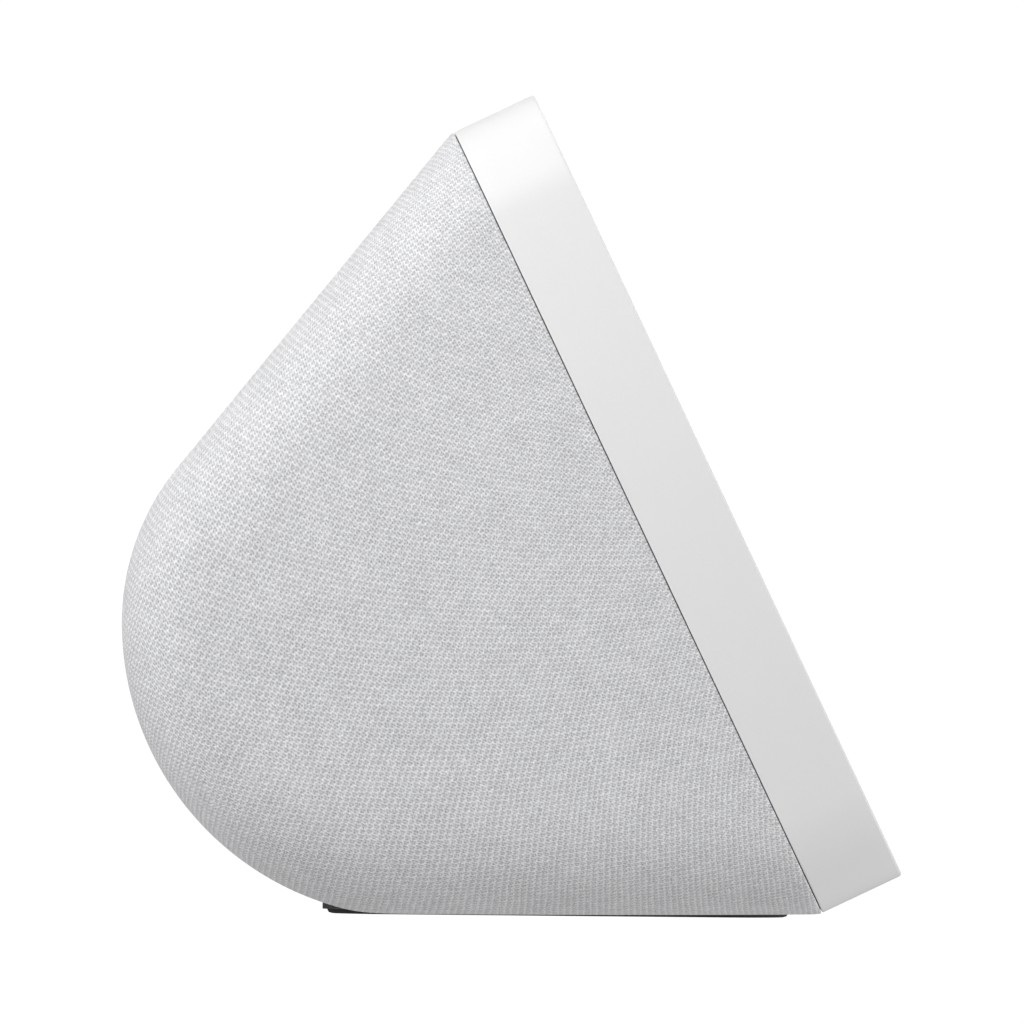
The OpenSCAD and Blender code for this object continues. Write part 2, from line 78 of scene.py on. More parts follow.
ACROSS = np.array([1.0, 0, 0])
UP_FACE = np.array([0, math.sin(TILT), math.cos(TILT)])
OUT_FACE = np.array([0, -math.cos(TILT), math.sin(TILT)])
FACE_MID = CHIN + UP_FACE * FACE_LEN / 2

# ---------------------------------------------------------------- camera
EYE = Vector((-3.0, 0.00012, 0.04495))
ROLL = math.radians(0.55)
SEEN_WIDTH = 0.11332

cam_data = bpy.data.cameras.new("camera")
cam_data.sensor_width = 36
cam_data.lens = 36 * (-EYE.x - BACK_HW * MM) / SEEN_WIDTH
cam_data.clip_start, cam_data.clip_end = 0.1, 60
camera = bpy.data.objects.new("camera", cam_data)
bpy.context.scene.collection.objects.link(camera)
camera.location = EYE
up = Vector((0, math.sin(ROLL), math.cos(ROLL)))
right = Vector((1, 0, 0)).cross(up)
camera.rotation_mode = "QUATERNION"
camera.rotation_quaternion = Matrix((right, up, Vector((-1, 0, 0)))).transposed().to_quaternion()
bpy.context.scene.camera = camera


# ---------------------------------------------------------------- places
def on_face(p):
    """Points given as x, up the face, out of the face."""
    return FACE_MID + np.outer(p[:, 0], ACROSS) + np.outer(p[:, 1], UP_FACE) + np.outer(p[:, 2], OUT_FACE)


def top_edge(x):
    """Points given as along, across and out of the frame's top edge, from a control's middle."""
    def place(p):
        return on_face(np.column_stack([x + p[:, 0], FACE_LEN / 2 + p[:, 2], CONTROL_D - p[:, 1]]))
    return place


def level(y):
    """Points on the level, from the middle line at that depth."""
    return lambda p: p + np.array([0, y, 0])


def at_port(p):
    """Points given about the power inlet, z straight out of it."""
    a = -QUARTER - PORT_PITCH
    y = LOWER_Y + LOWER_R * math.cos(PORT_PITCH)
    z = CURVE_Z - LOWER_R * math.sin(PORT_PITCH)
    return np.column_stack([
        PORT_X + p[:, 0],
        y + p[:, 1] * math.cos(a) - p[:, 2] * math.sin(a),
        z + p[:, 1] * math.sin(a) + p[:, 2] * math.cos(a),
    ])


# ---------------------------------------------------------------- mesh making
class Shape:
    """Points and faces gathered from several closed bodies."""

    def __init__(self):
        self.points, self.faces, self.count = [], [], 0

    def add(self, points, faces):
        points = np.asarray(points, float)
        self.points.append(points)
        self.faces += [tuple(i + self.count for i in f) for f in faces]
        self.count += len(points)
        return self


LEAST_R = 0.02


def outline(w, h, r, arc=16, run=8):
    """Corner centres and outward directions round a rounded rectangle, anticlockwise."""
    corners = [(1, 1), (-1, 1), (-1, -1), (1, -1)]
    centres, directions = [], []
    for k, (sx, sy) in enumerate(corners):
        c = np.array([sx * (w / 2 - r), sy * (h / 2 - r)])
        n = np.array([corners[(k + 1) % 4][0] * (w / 2 - r), corners[(k + 1) % 4][1] * (h / 2 - r)])
        for i in range(arc + 1):
            a = QUARTER * (k + i / arc)
            centres.append(c)
            directions.append((math.cos(a), math.sin(a)))
        for i in range(1, run):
            centres.append(c + (n - c) * i / run)
            directions.append(directions[-1])
    return np.array(centres), np.array(directions)


def ring(size, off, z, **steps):
    """One rounded rectangle of points, grown outwards by off."""
    centres, directions = outline(*size, **steps)
    flat = centres + directions * max(size[2] + off, LEAST_R)
    return np.column_stack([flat, np.full(len(flat), z)])


def skin(rings, closed=False, caps=(True, True)):
    """Faces over a stack of equal rings."""
    n, m = len(rings[0]), len(rings)
    faces = []
    for j in range(m if closed else m - 1):
        a, b = j * n, (j + 1) % m * n
        faces += [(a + i, a + (i + 1) % n, b + (i + 1) % n, b + i) for i in range(n)]
    if not closed and caps[0]:
        faces.append(tuple(range(n))[::-1])
    if not closed and caps[1]:
        faces.append(tuple(range((m - 1) * n, m * n)))
    return np.vstack(rings), faces


def swept(size, profile, place, closed=False, caps=(True, True), **steps):
    """A profile of (outward offset, height) pairs carried round a rounded rectangle."""
    points, faces = skin([ring(size, o, z, **steps) for o, z in profile], closed, caps)
    return place(points), faces


def lathe(profile, place, closed=False, n=96):
    """A profile of (radius, height) pairs turned about its axis."""
    rings = []
    for r, z in profile:
        a = np.arange(n) / n * TURN
        rings.append(np.column_stack([r * np.cos(a), r * np.sin(a), np.full(n, z)]))
    points, faces = skin(rings, closed)
    return place(points), faces


def fillet(o, z, r, a0, a1, n=6):
    """An arc of a profile about (o, z), angles in degrees."""
    return [(o + r * math.cos(math.radians(a0 + (a1 - a0) * i / n)),
             z + r * math.sin(math.radians(a0 + (a1 - a0) * i / n))) for i in range(n + 1)]


def bare(name, shape):
    """A new object from a shape, its faces turned outwards."""
    mesh = bpy.data.meshes.new(name)
    mesh.from_pydata((np.vstack(shape.points) * MM).tolist(), [], shape.faces)
    bm = bmesh.new()
    bm.from_mesh(mesh)
    bmesh.ops.recalc_face_normals(bm, faces=bm.faces)
    bm.to_mesh(mesh)
    bm.free()
    obj = bpy.data.objects.new(name, mesh)
    bpy.context.scene.collection.objects.link(obj)
    return obj


def cut(obj, cutter):
    """Takes the cutter's bodies out of the piece for good."""
    m = obj.modifiers.new("cut", "BOOLEAN")
    m.operation, m.object, m.solver = "DIFFERENCE", cutter, "EXACT"
    done = bpy.data.meshes.new_from_object(obj.evaluated_get(bpy.context.evaluated_depsgraph_get()))
    obj.modifiers.clear()
    obj.data = done
    bpy.data.objects.remove(cutter)


def settle(obj, body, slot, *nodes, sharp=35):
    """Shades a piece, gives it its finish and puts it on its body."""
    for p in obj.data.polygons:
        p.use_smooth = True
    obj.data.set_sharp_from_angle(angle=math.radians(sharp))
    obj.data.materials.clear()
    obj.data.materials.append(FINISH[slot])
    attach(obj, body)
    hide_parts(*nodes)
    return obj


# ---------------------------------------------------------------- finishes
def node(tree, kind, sets=None, **attrs):
    """A new node whose inputs are set to values or linked to sockets."""
    n = tree.nodes.new(kind)
    for k, v in attrs.items():
        setattr(n, k, v)
    for k, v in (sets or {}).items():
        if isinstance(v, bpy.types.NodeSocket):
            tree.links.new(v, n.inputs[k])
        else:
            n.inputs[k].default_value = v
    return n


def math_node(tree, op, a, b=None, c=None, clamp=False):
    n = tree.nodes.new("ShaderNodeMath")
    n.operation, n.use_clamp = op, clamp
    for i, v in enumerate((a, b, c)):
        if isinstance(v, bpy.types.NodeSocket):
            tree.links.new(v, n.inputs[i])
        elif v is not None:
            n.inputs[i].default_value = v
    return n.outputs[0]


def mix_colour(tree, share, a, b):
    n = tree.nodes.new("ShaderNodeMix")
    n.data_type = "RGBA"
    for i, v in ((0, share), (6, a), (7, b)):
        if isinstance(v, bpy.types.NodeSocket):
            tree.links.new(v, n.inputs[i])
        else:
            n.inputs[i].default_value = v
    return n.outputs[2]


def new_material(name):
    """An empty material with one shader on its output."""
    m = bpy.data.materials.new(name)
    m.use_nodes = True
    m.node_tree.nodes.clear()
    out = m.node_tree.nodes.new("ShaderNodeOutputMaterial")
    shader = m.node_tree.nodes.new("ShaderNodeBsdfPrincipled")
    m.node_tree.links.new(shader.outputs[0], out.inputs[0])
    return m, m.node_tree, shader


def rgba(c):
    return (c[0], c[1], c[2], 1.0)


# How much of a finish's mix comes from its pattern; the rest is a soft noise
PATTERN_SHARE = 0.7
PATTERN = {
    # texture node, its settings and its output
    "grain": ("ShaderNodeTexNoise", {"Scale": 1.0, "Detail": 3.0, "Roughness": 0.6}, "Fac"),
    "cells": ("ShaderNodeTexVoronoi", {"Scale": 1.0}, "Distance"),
    "rings": ("ShaderNodeTexWave", {"Scale": 1.0, "Distortion": 0.4, "Detail": 1.0}, "Fac"),
}


# The finished material of each slot
FINISH = {}


def finish(name, dark, light, rough, pattern="grain", scale=900.0, stretch=(1, 1, 1),
           bump=0.00004, **shader_values):
    """A two-tone material whose pattern also moves its gloss and its surface."""
    m, tree, shader = new_material(name)
    coord = node(tree, "ShaderNodeTexCoord")
    place = node(tree, "ShaderNodeMapping", {"Vector": coord.outputs["Object"],
                 "Scale": tuple(scale * s for s in stretch)})
    kind, sets, out = PATTERN[pattern]
    tex = node(tree, kind, dict(sets, Vector=place.outputs[0]))
    soft = node(tree, "ShaderNodeTexNoise",
                {"Vector": coord.outputs["Object"], "Scale": 60.0, "Detail": 2.0})
    share = math_node(tree, "MULTIPLY_ADD", soft.outputs["Fac"], 1 - PATTERN_SHARE,
                      math_node(tree, "MULTIPLY", tex.outputs[out], PATTERN_SHARE), clamp=True)
    colour = mix_colour(tree, share, rgba(dark), rgba(light))
    tree.links.new(colour, shader.inputs["Base Color"])
    gloss = node(tree, "ShaderNodeMapRange", {"Value": share, "From Min": 0.2, "From Max": 0.8,
                 "To Min": rough[0], "To Max": rough[1]})
    tree.links.new(gloss.outputs[0], shader.inputs["Roughness"])
    relief = node(tree, "ShaderNodeBump", {"Height": tex.outputs[out], "Distance": bump, "Strength": 0.6})
    tree.links.new(relief.outputs[0], shader.inputs["Normal"])
    for k, v in shader_values.items():
        shader.inputs[k.replace("_", " ")].default_value = v
    FINISH[name] = m


finish("frame_white", (0.70, 0.70, 0.70), (0.76, 0.76, 0.76),
       (0.42, 0.55), scale=5000, bump=0.000006)
finish("housing_white", (0.68, 0.68, 0.67), (0.76, 0.76, 0.75),
       (0.45, 0.6), scale=2500, bump=0.00002)
finish("black_film", (0.006, 0.006, 0.007), (0.012, 0.012, 0.014),
       (0.25, 0.4), scale=3000, bump=0.000003)
finish("screen", (0.008, 0.009, 0.012), (0.015, 0.016, 0.02),
       (0.12, 0.2), "cells", 8000, bump=0.000002)
finish("diffuser", (0.82, 0.81, 0.76), (0.9, 0.89, 0.85),
       (0.5, 0.6), "cells", 4000, bump=0.00001)
finish("steel", (0.5, 0.52, 0.55), (0.66, 0.68, 0.7),
       (0.25, 0.45), scale=700, stretch=(0.1, 4, 4), bump=0.00001, Metallic=1.0)
finish("plated_steel", (0.62, 0.61, 0.58), (0.78, 0.77, 0.74),
       (0.15, 0.32), scale=1800, bump=0.000008, Metallic=1.0)
finish("circuit_board", (0.01, 0.09, 0.035), (0.03, 0.2, 0.08),
       (0.25, 0.5), "cells", 900, stretch=(1, 0.5, 1), bump=0.00003)
finish("flex", (0.42, 0.2, 0.04), (0.62, 0.34, 0.09),
       (0.25, 0.4), "rings", 600, bump=0.00002)
finish("lens_glass", (0.01, 0.01, 0.03), (0.03, 0.02, 0.06),
       (0.03, 0.07), scale=500, bump=0.0, Coat_Weight=1.0)
finish("black_plastic", (0.012, 0.012, 0.013), (0.028, 0.028, 0.03),
       (0.45, 0.62), scale=2600, bump=0.00003)
finish("shutter_orange", (0.8, 0.1, 0.015), (0.9, 0.17, 0.03),
       (0.4, 0.5), scale=3000, bump=0.00001)
finish("foot_rubber", (0.012, 0.012, 0.012), (0.03, 0.03, 0.03),
       (0.7, 0.9), "cells", 1600, bump=0.00006)
finish("foam", (0.03, 0.03, 0.032), (0.12, 0.12, 0.125),
       (0.9, 1.0), "cells", 2200, bump=0.0002)
finish("aluminium", (0.7, 0.71, 0.73), (0.84, 0.85, 0.86),
       (0.28, 0.42), scale=900, stretch=(4, 0.1, 4), bump=0.000008, Metallic=1.0)
finish("ferrite", (0.03, 0.03, 0.033), (0.075, 0.075, 0.08),
       (0.5, 0.7), scale=1500, bump=0.00004)
finish("paper", (0.02, 0.02, 0.022), (0.06, 0.06, 0.062),
       (0.8, 0.95), scale=1400, stretch=(1, 5, 1), bump=0.00008)
finish("coil_copper", (0.55, 0.2, 0.07), (0.85, 0.4, 0.18),
       (0.2, 0.4), "rings", 1500, stretch=(0, 1, 0), bump=0.00006, Metallic=1.0)
finish("spider_cloth", (0.45, 0.27, 0.06), (0.7, 0.47, 0.14),
       (0.85, 0.95), "cells", 2600, bump=0.00008, Sheen_Weight=0.3)
finish("thermal_gel", (0.3, 0.5, 0.62), (0.42, 0.62, 0.74),
       (0.6, 0.8), scale=1200, bump=0.00004)
finish("wire_red", (0.4, 0.02, 0.015), (0.6, 0.05, 0.03),
       (0.35, 0.5), scale=2000, bump=0.00001)


def glass():
    """Clear glass with faint smears."""
    m, tree, shader = new_material("clear_glass")
    coord = node(tree, "ShaderNodeTexCoord")
    smear = node(tree, "ShaderNodeTexNoise",
                 {"Vector": coord.outputs["Object"], "Scale": 45.0, "Detail": 5.0})
    gloss = node(tree, "ShaderNodeMapRange", {"Value": smear.outputs["Fac"], "From Min": 0.35,
                 "From Max": 0.75, "To Min": 0.02, "To Max": 0.06})
    tree.links.new(gloss.outputs[0], shader.inputs["Roughness"])
    tint = mix_colour(tree, smear.outputs["Fac"], (0.93, 0.96, 0.95, 1), (0.97, 0.99, 0.98, 1))
    tree.links.new(tint, shader.inputs["Base Color"])
    shader.inputs["Transmission Weight"].default_value = 1.0
    shader.inputs["IOR"].default_value = 1.5
    FINISH["clear_glass"] = m


glass()

# The knit's two diagonal rows fan out over the body's sides. Each phase is a smooth function of u and
# v, the distances behind and above a middle point: factors of u, v, u*u, u*v, v*v and u*v*v.
SIDE_MID_Z, SIDE_SPAN = 45.2, 40.0
ROW_A = (7, -67, 10, 27, 2, 13)
ROW_B = (-65, -37, 6, 4, -16, 13)
# Spacing of the diagonal rows over the top and back
WRAP_PITCH = 0.79


def side_phases(y, z):
    """Turns of rows A and B at a place on the body's side."""
    u, v = y / SIDE_SPAN, (z - SIDE_MID_Z) / SIDE_SPAN
    terms = np.array([u, v, u * u, u * v, v * v, u * v * v])
    return np.tensordot(ROW_A, terms, 1), np.tensordot(ROW_B, terms, 1)


# Threads as waves over the two rows: turns of row B, turns of row A, strength and lag in degrees
WAVES = (
    (1, 0, 1.0, 0), (0, 1, 0.85, 0), (-1, 2, 1.08, 156), (1, 1, 0.63, 60),
    (2, -1, 0.54, 130), (-1, 1, 0.3, -169), (2, 0, 0.42, -52), (0, 2, 0.34, -14),
)


# How far the rows stray, and over how many rows
WARP_SIZE, WARP_SCALE = 0.35, 0.35


def threads(tree, layer):
    """Height of the knit over its rows, and a number that differs from stitch to stitch."""
    uv = node(tree, "ShaderNodeUVMap", uv_map=layer)
    warp = node(tree, "ShaderNodeTexNoise", {"Vector": uv.outputs[0], "Scale": WARP_SCALE, "Detail": 1.0})
    shift = node(tree, "ShaderNodeVectorMath", {0: warp.outputs["Color"], 1: (0.5, 0.5, 0.5)},
                 operation="SUBTRACT")
    size = node(tree, "ShaderNodeVectorMath", {0: shift.outputs[0], "Scale": WARP_SIZE}, operation="SCALE")
    wobbly = node(tree, "ShaderNodeVectorMath", {0: uv.outputs[0], 1: size.outputs[0]}, operation="ADD")
    rows = wobbly.outputs[0]
    height = 0.0
    for b, a, strength, lag in WAVES:
        phase = node(tree, "ShaderNodeVectorMath", {0: rows, 1: (a * TURN, b * TURN, 0)},
                     operation="DOT_PRODUCT")
        wave = math_node(tree, "COSINE", math_node(tree, "ADD", phase.outputs["Value"], math.radians(lag)))
        height = math_node(tree, "MULTIPLY_ADD", wave, strength, height)
    stitch = node(tree, "ShaderNodeVectorMath", {0: rows, 1: (0.5, 0.5, 0.0)}, operation="ADD")
    floor = node(tree, "ShaderNodeVectorMath", {0: stitch.outputs[0]}, operation="FLOOR")
    chance = node(tree, "ShaderNodeTexWhiteNoise", {"Vector": floor.outputs[0]}, noise_dimensions="2D")
    return height, chance.outputs["Value"]


# Colour of the hollows between the threads, painted darker as shade, and of the lightest yarn; and how far
# the threads, the fibres, each stitch and wide clouds go between the two
KNIT_SHADED_HOLLOW, KNIT_HIGH = 0.34, 0.87
KNIT_SWING, FIBRE, STITCH, CLOUD = 0.115, 1.2, 0.12, 0.15


def knit():
    """Light grey knit: side rows on the body's sides, plain diagonal rows over the top and back."""
    m, tree, shader = new_material("knit")
    wrap = node(tree, "ShaderNodeAttribute", attribute_name="wrap")
    side, top = threads(tree, "side_rows"), threads(tree, "wrap_rows")

    def both(i):
        n = node(tree, "ShaderNodeMix", {"Factor": wrap.outputs["Fac"], 2: side[i], 3: top[i]})
        return n.outputs[0]

    height, chance = both(0), both(1)
    coord = node(tree, "ShaderNodeTexCoord")
    fibre = node(tree, "ShaderNodeTexNoise",
                 {"Vector": coord.outputs["Object"], "Scale": 6500.0, "Detail": 1.0})
    cloud = node(tree, "ShaderNodeTexNoise",
                 {"Vector": coord.outputs["Object"], "Scale": 220.0, "Detail": 2.0})
    # The colour follows the threads' height, so the hollows between them carry painted shade
    share = math_node(tree, "MULTIPLY_ADD", height, KNIT_SWING, 0.5)
    for change, swing in ((fibre.outputs["Fac"], FIBRE), (chance, STITCH), (cloud.outputs["Fac"], CLOUD)):
        off_middle = math_node(tree, "SUBTRACT", change, 0.5)
        share = math_node(tree, "MULTIPLY_ADD", off_middle, swing, share)
    share = math_node(tree, "ADD", share, 0.0, clamp=True)
    colour = mix_colour(tree, share, (KNIT_SHADED_HOLLOW, KNIT_SHADED_HOLLOW, KNIT_SHADED_HOLLOW * 1.035, 1),
                        (KNIT_HIGH * 0.982, KNIT_HIGH * 0.982, KNIT_HIGH, 1))
    tree.links.new(colour, shader.inputs["Base Color"])
    gloss = node(tree, "ShaderNodeMapRange", {"Value": share, "To Min": 0.95, "To Max": 0.6})
    tree.links.new(gloss.outputs[0], shader.inputs["Roughness"])
    relief = node(tree, "ShaderNodeBump", {"Height": height, "Distance": 0.00003, "Strength": 0.4})
    tree.links.new(relief.outputs[0], shader.inputs["Normal"])
    shader.inputs["Sheen Weight"].default_value = 0.15
    shader.inputs["Sheen Roughness"].default_value = 0.4
    FINISH["knit"] = m


knit()

# Every CAD node takes its slot's finish; the pieces below then stand in for those that show most
for part in RECORD["subparts"]:
    carried = frame["nodes"][part["node"]]
    carried.data.materials.clear()
    carried.data.materials.append(FINISH[part["material_slot"]])

# ---------------------------------------------------------------- knitted cover
LIP_R = 0.2
# Depth of the cover's edge behind the front face, where its rolled lip starts
LIP_D = -(FRAME_T + 0.15)
# The body keeps its outline over this depth behind the frame
SEAM_BAND = 0.3
# How far the lip turns inwards, and how far forward it then runs back
LIP_IN, LIP_BACK = 0.85, 1.5
# Reach of the rounding where the sides meet the level underside
HEM_SOFT = 0.5
# Points this far above the underside still belong to it, where the back's curve starts
HEM_BAND = 1.6
PORT_PLAY = 0.1


def body_tree():
    """The body's smooth convex form as a tree for rays."""
    points = []
    quarter = np.linspace(0, QUARTER, 49)
    for sx in (-1, 1):
        for su in (-1, 1):
            for d in (-FRAME_T, -FRAME_T - SEAM_BAND):
                x = sx * (BODY_W / 2 - CORNER_R + CORNER_R * np.cos(quarter))
                u = su * (FACE_LEN / 2 - CORNER_R + CORNER_R * np.sin(quarter))
                points.append(on_face(np.column_stack([x, u, np.full(len(u), d)])))
        for y, r, first, last in ((UPPER_Y, UPPER_R, -5, 120), (LOWER_Y, LOWER_R, -90, 0)):
            turn = np.radians(np.linspace(first, last, 91))[:, None]
            reach = r - SIDE_R + SIDE_R * np.cos(quarter)[None, :]
            x = np.broadcast_to(sx * (BACK_HW - SIDE_R + SIDE_R * np.sin(quarter))[None, :], (91, 49))
            points.append(np.column_stack([x.ravel(), (y + reach * np.cos(turn)).ravel(),
                                           (CURVE_Z + reach * np.sin(turn)).ravel()]))
    bm = bmesh.new()
    for p in np.vstack(points):
        bm.verts.new(p)
    made = bmesh.ops.convex_hull(bm, input=bm.verts)
    inner = [g for g in made["geom_interior"] if isinstance(g, bmesh.types.BMVert)]
    bmesh.ops.delete(bm, geom=inner, context="VERTS")
    tree = BVHTree.FromBMesh(bm)
    bm.free()
    return tree


def spine():
    """Rows of the cover from seam to seam: inner point (y, z), outward direction (y, z) and half width
    of the flat band; then the middles of the face's top and bottom corners at the seam's depth."""
    rows = []
    seam = -LIP_D
    top = FACE_MID + UP_FACE * (FACE_LEN / 2 - CORNER_R) - OUT_FACE * seam
    low = FACE_MID - UP_FACE * (FACE_LEN / 2 - CORNER_R) - OUT_FACE * seam
    slope_t = FACE_MID + UP_FACE * FACE_LEN / 2 - OUT_FACE * FRAME_T
    run = math.hypot(UPPER_Y - slope_t[1], CURVE_Z - slope_t[2])
    a_slope = math.atan2(CURVE_Z - slope_t[2], UPPER_Y - slope_t[1]) + math.asin(UPPER_R / run) + QUARTER

    def wheel(y, r, a):
        d = np.array([math.cos(a), math.sin(a)])
        return np.array([y, CURVE_Z]) + (r - SIDE_R) * d, d

    def stretch(start, end, n, first):
        for i in range(0 if first else 1, n + 1):
            t = i / n
            d = start[1] * (1 - t) + end[1] * t
            hw = start[2] * (1 - t) + end[2] * t
            rows.append((start[0] * (1 - t) + end[0] * t, d / np.linalg.norm(d), hw))

    wide, narrow = BODY_W / 2 - CORNER_R, BACK_HW - SIDE_R
    o, d = wheel(UPPER_Y, UPPER_R, a_slope)
    stretch((top[1:], UP_FACE[1:], wide), (o, d, narrow), 64, True)
    for i in range(1, 33):
        rows.append((*wheel(UPPER_Y, UPPER_R, a_slope * (1 - i / 32)), narrow))
    for i in range(1, 65):
        rows.append((*wheel(LOWER_Y, LOWER_R, -QUARTER * i / 64), narrow))
    o, d = wheel(LOWER_Y, LOWER_R, -QUARTER)
    stretch((o, d, narrow), (low[1:], -UP_FACE[1:], wide), 56, False)
    return rows, top, low


def make_cover():
    """The cover as a grid of points that rays from inside find on the body's form."""
    tree = body_tree()
    rows, top, low = spine()
    n_side, n_round, n_band = 64, 20, 56
    turn = np.linspace(0, QUARTER, n_round + 1)
    along = [0.0]
    for a, b in zip(rows, rows[1:]):
        along.append(along[-1] + float(np.linalg.norm((b[0] + b[1] * SIDE_R) - (a[0] + a[1] * SIDE_R))))
    shift = [0.0]
    for a, b in zip(rows, rows[1:]):
        shift.append(shift[-1] + float(np.linalg.norm(b[0] - a[0])))
    last = len(rows) - 1

    def surface(origin, direction):
        """The point where a ray from inside leaves the form, which is cut level just above the table."""
        for nudge in (0, 0.003, -0.003, 0.011):
            start = Vector(origin) + Vector((nudge, nudge * 0.7, nudge * 0.4))
            hit, _, _, far = tree.ray_cast(start, Vector(direction))
            if hit is not None:
                break
        else:
            raise ValueError(f"no surface from {origin} towards {direction}")
        if direction[2] < -1e-6:
            level_far = (UNDER_Z - origin[2]) / direction[2]
            # The cut's edge is rounded, as cloth over a corner is
            h = max(HEM_SOFT - abs(far - level_far), 0) / HEM_SOFT
            far = min(far, level_far) - h * h * HEM_SOFT / 4
        return np.array(origin) + np.array(direction) * far

    points, side_uv, wrap_uv, wrap_share = [], [], [], []

    def put(p, yz, flat_x, s, share):
        points.append(p)
        side_uv.append(side_phases(yz[0], yz[1]))
        wrap_uv.append(((flat_x + s) / WRAP_PITCH, (flat_x - s) / WRAP_PITCH))
        wrap_share.append(share)

    for j, (o, d, hw) in enumerate(rows):
        lam = shift[j] / shift[-1]
        seam_side = top + (low - top) * lam
        for sx in (-1, 1):
            cells = []
            if sx < 0:
                cells += [("side", q) for q in np.linspace(1, 0, n_side + 1)[:-1]]
                cells += [("round", a) for a in turn]
            else:
                cells += [("band", x) for x in np.linspace(-hw, hw, n_band + 1)[1:-1]]
                cells += [("round", a) for a in turn[::-1]]
                cells += [("side", q) for q in np.linspace(0, 1, n_side + 1)[1:]]
            for kind, v in cells:
                if kind == "side":
                    yz = o * (1 - v) + seam_side[1:] * v
                    edge = v > 1 - 1e-9 or j in (0, last)
                    p = None if edge else surface((sx * hw, yz[0], yz[1]), (sx, 0, 0))
                    if p is None:
                        p = np.array([sx * BODY_W / 2, yz[0], yz[1]])
                    put(p, yz, sx * (hw + SIDE_R * QUARTER), along[j], 0.0)
                elif kind == "round":
                    yz = o + d * SIDE_R * v
                    p = None
                    if j in (0, last):
                        p = np.array([sx * (hw + CORNER_R * math.cos(v)), *(o + d * CORNER_R * math.sin(v))])
                    else:
                        p = surface((sx * hw, *o), (sx * math.cos(v), *(d * math.sin(v))))
                    put(p, yz, sx * (hw + SIDE_R * (QUARTER - v)), along[j], 0.0)
                else:
                    gap = hw - abs(v)
                    yz = o + d * (SIDE_R * QUARTER + gap)
                    p = np.array([v, *(o + d * CORNER_R)]) if j in (0, last) else surface((v, *o), (0, *d))
                    put(p, yz, v, along[j], min(max(gap / 5 - 0.2, 0), 1))
    points = np.array(points)
    wide = len(points) // len(rows)
    faces = [(j * wide + i, j * wide + i + 1, (j + 1) * wide + i + 1, (j + 1) * wide + i)
             for j in range(last) for i in range(wide - 1)]

    # The opening over the base plate: points just inside its outline move onto it
    mid_y, half = (BASE_FRONT + BASE_REAR) / 2, np.array([BASE_W / 2, (BASE_REAR - BASE_FRONT) / 2])
    flat = np.abs(points[:, :2] - [0, mid_y]) - (half - BASE_R)
    gap = np.linalg.norm(np.maximum(flat, 0), axis=1) + np.minimum(flat.max(1), 0) - BASE_R
    under = points[:, 2] < UNDER_Z + HEM_BAND
    inside = under & (gap < 0)
    faces = [f for f in faces if not all(inside[i] for i in f)]
    hem = [i for i in set(i for f in faces for i in f) if inside[i]]
    for i in hem:
        p = points[i, :2] - [0, mid_y]
        sign = np.sign(p) + (p == 0)
        q = np.abs(p) - (half - BASE_R)
        if q[0] > 0 and q[1] > 0:
            q *= BASE_R / np.linalg.norm(q)
        elif q[0] > q[1]:
            q[0] = BASE_R
        else:
            q[1] = BASE_R
        points[i, :2] = sign * (q + half - BASE_R) + [0, mid_y]
        hit, _, _, _ = tree.ray_cast(Vector((*points[i, :2], -5)), Vector((0, 0, 1)))
        points[i, 2] = max(hit.z, UNDER_Z)

    # The port's opening, the same way
    centre = at_port(np.zeros((1, 3)))[0]
    axis = at_port(np.array([[0, 0, 1.0]]))[0] - centre
    rel = points - centre
    out = rel @ axis
    radial = rel - np.outer(out, axis)
    far = np.linalg.norm(radial, axis=1)
    hole_r = PORT_R + PORT_RIM + PORT_PLAY
    near = (far < hole_r) & (np.abs(out) < 6)
    faces = [f for f in faces if not all(near[i] for i in f)]
    rim = [i for i in set(i for f in faces for i in f) if near[i]]
    for i in rim:
        p = centre + radial[i] / far[i] * hole_r + axis * 4
        hit, _, _, _ = tree.ray_cast(Vector(p), Vector(-axis))
        points[i] = np.array(hit)

    # The rolled lip along the seam
    loop = list(range(wide))
    loop += [j * wide + wide - 1 for j in range(1, last + 1)]
    loop += [last * wide + i for i in range(wide - 2, -1, -1)]
    loop += [j * wide for j in range(last - 1, 0, -1)]
    lips = [(LIP_R * (1 - math.cos(a)), LIP_R * math.sin(a)) for a in np.radians([20, 40, 60, 80, 90])]
    lips += [(LIP_IN, LIP_R), (LIP_IN, LIP_R - LIP_BACK)]
    base, count = list(points), len(points)
    start = loop
    for off, forward in lips:
        fresh = []
        for i in loop:
            rel = points[i] - FACE_MID
            x, u = rel[0], rel @ UP_FACE
            q = np.array([abs(x) - (BODY_W / 2 - CORNER_R), abs(u) - (FACE_LEN / 2 - CORNER_R)])
            push = np.maximum(q, 0)
            if push.max() <= 0:
                push = (q == q.max()).astype(float)
            push = push / np.linalg.norm(push)
            moved = np.array([x, u]) - push * off * np.sign([x, u])
            base.append(on_face(np.array([[moved[0], moved[1], LIP_D + forward]]))[0])
            side_uv.append(side_uv[i])
            wrap_uv.append(wrap_uv[i])
            wrap_share.append(wrap_share[i])
            fresh.append(count)
            count += 1
        n = len(loop)
        faces += [(start[k], fresh[k], fresh[(k + 1) % n], start[(k + 1) % n]) for k in range(n)]
        start = fresh
    points = np.array(base)

